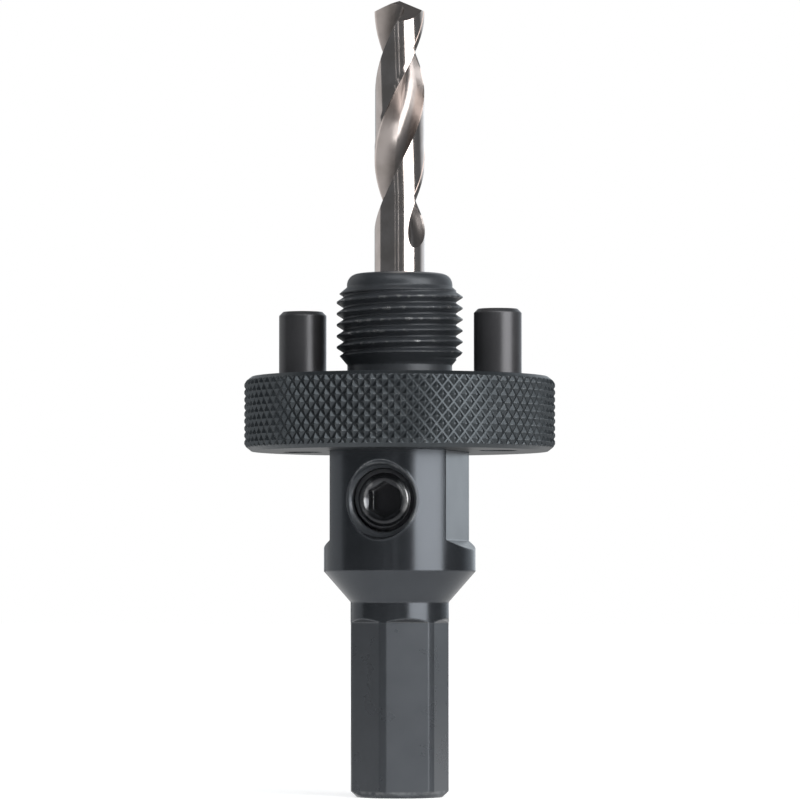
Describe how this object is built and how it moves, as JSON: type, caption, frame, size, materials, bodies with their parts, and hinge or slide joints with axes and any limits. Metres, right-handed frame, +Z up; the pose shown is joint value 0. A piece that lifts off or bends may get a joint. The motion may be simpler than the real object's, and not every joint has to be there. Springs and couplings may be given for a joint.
{
  "type": "hole saw arbor",
  "caption": "Hole saw arbor: hex shank, flatted body with sliding knurled drive plate and pins, threaded nose and twist pilot drill clamped by a set screw.",
  "frame": {"origin": "centre of the hexagonal shank's end face, which the arbor stands on", "axes": "+Z up the axis to the pilot drill's point, +X through the right drive pin, -Y towards the set screw"},
  "size_m": [0.039, 0.039, 0.1002],
  "materials": {
    "arbor_body": "black oxide, satin",
    "drive_plate": "black oxide, knurled rim",
    "drive_pins": "black oxide, satin",
    "pilot_drill": "bright ground steel",
    "set_screw": "black oxide, oiled"
  },
  "bodies": {
    "arbor": {"arbor_body": "arbor_body"},
    "plate": {"drive_plate": "drive_plate", "drive_pin_left": "drive_pins", "drive_pin_right": "drive_pins"},
    "drill": {"pilot_drill": "pilot_drill"},
    "screw": {"set_screw": "set_screw"}
  },
  "joints": [
    {"name": "plate_slide", "type": "slide", "parent": "arbor", "child": "plate", "axis": [0, 0, 1], "range_m": [-0.011, 0.0025]},
    {"name": "drill_slide", "type": "slide", "parent": "arbor", "child": "drill", "axis": [0, 0, 1], "range_m": [0, 0.04]},
    {"name": "screw_release", "type": "slide", "parent": "arbor", "child": "screw", "axis": [0, -1, 0], "range_m": [0, 0.001]}
  ]
}
